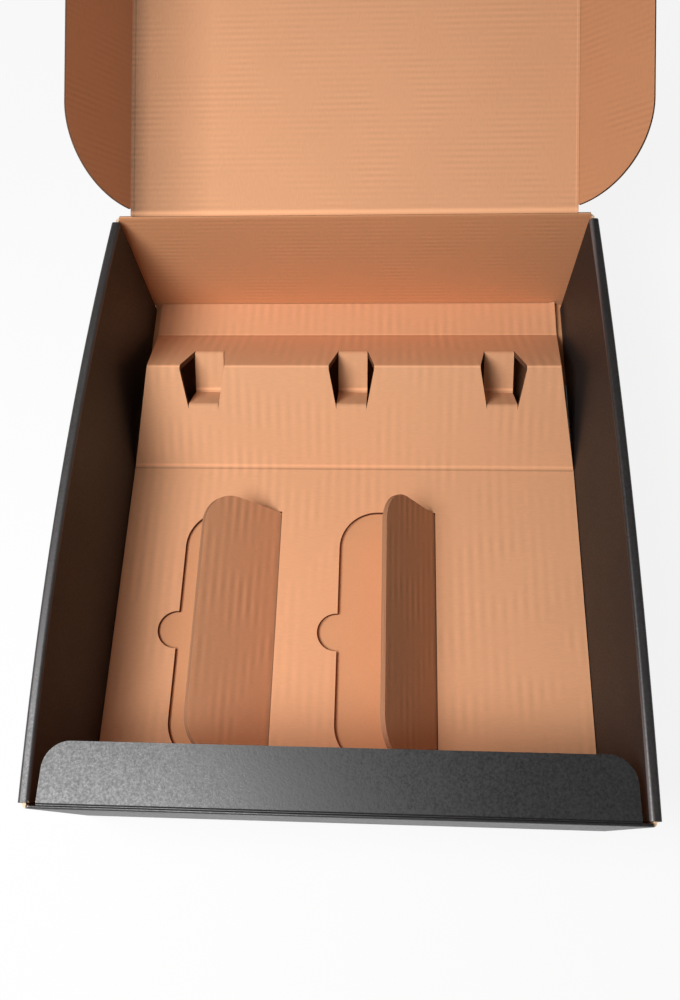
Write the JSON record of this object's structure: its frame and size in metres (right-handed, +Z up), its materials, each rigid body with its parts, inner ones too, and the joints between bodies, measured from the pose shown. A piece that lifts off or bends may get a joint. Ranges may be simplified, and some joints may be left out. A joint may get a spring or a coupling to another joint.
{
  "type": "wine shipping box",
  "caption": "Folding wine box: tray with roll-over side walls, hinged lid with ears and tuck flap, front flap, and an insert with a neck bridge and pop-up dividers.",
  "frame": {"origin": "centre of the tray's flat underside", "axes": "+Z up, +Y towards the back wall and the open lid, +X to the right as seen from the front"},
  "size_m": [0.3038, 0.6012, 0.2503],
  "materials": {
    "black_board": "matte black printed liner with fine paper grain",
    "kraft_inner": "plain brown kraft liner, matte",
    "kraft_insert": "plain brown kraft liner with faint flute lines, matte"
  },
  "bodies": {
    "box": {"tray": "black_board", "insert": "kraft_insert"},
    "lid": {"lid_panel": "kraft_inner"},
    "ear_left": {"lid_ear_left": "kraft_inner"},
    "ear_right": {"lid_ear_right": "kraft_inner"},
    "tuck_flap": {"lid_tuck_flap": "kraft_inner"},
    "front_flap": {"front_flap": "black_board"},
    "divider_left": {"divider_flap_left": "kraft_insert"},
    "divider_right": {"divider_flap_right": "kraft_insert"}
  },
  "joints": [
    {"name": "lid_hinge", "type": "hinge", "parent": "box", "child": "lid", "pos_m": [0, 0.15475, 0.08625], "axis": [1, 0, 0], "range_deg": [-30, 158]},
    {"name": "ear_left_fold", "type": "hinge", "parent": "lid", "child": "ear_left", "pos_m": [-0.1233, 0.15475, 0.08625], "axis": [0, 0.9272, 0.3746], "range_deg": [-15, 60]},
    {"name": "ear_right_fold", "type": "hinge", "parent": "lid", "child": "ear_right", "pos_m": [0.1233, 0.15475, 0.08625], "axis": [0, -0.9272, -0.3746], "range_deg": [-15, 80]},
    {"name": "tuck_fold", "type": "hinge", "parent": "lid", "child": "tuck_flap", "pos_m": [0, 0.438, 0.20069], "axis": [1, 0, 0], "range_deg": [-15, 42]},
    {"name": "front_flap_fold", "type": "hinge", "parent": "box", "child": "front_flap", "pos_m": [0, -0.153, 0.08475], "axis": [-1, 0, 0], "range_deg": [-20, 90]},
    {"name": "divider_left_fold", "type": "hinge", "parent": "box", "child": "divider_left", "pos_m": [-0.0406, -0.0588, 0.00295], "axis": [0, 1, 0], "range_deg": [-47.5, 42.5]},
    {"name": "divider_right_fold", "type": "hinge", "parent": "box", "child": "divider_right", "pos_m": [0.047, -0.0588, 0.00295], "axis": [0, 1, 0], "range_deg": [-58.5, 31.5]}
  ],
  "couplings": [
    {"joint": "ear_left_fold", "follows": "lid_hinge", "ratio": 0.35},
    {"joint": "ear_right_fold", "follows": "lid_hinge", "ratio": 0.47},
    {"joint": "tuck_fold", "follows": "lid_hinge", "ratio": 0.253},
    {"joint": "front_flap_fold", "follows": "lid_hinge", "ratio": 0.557}
  ]
}
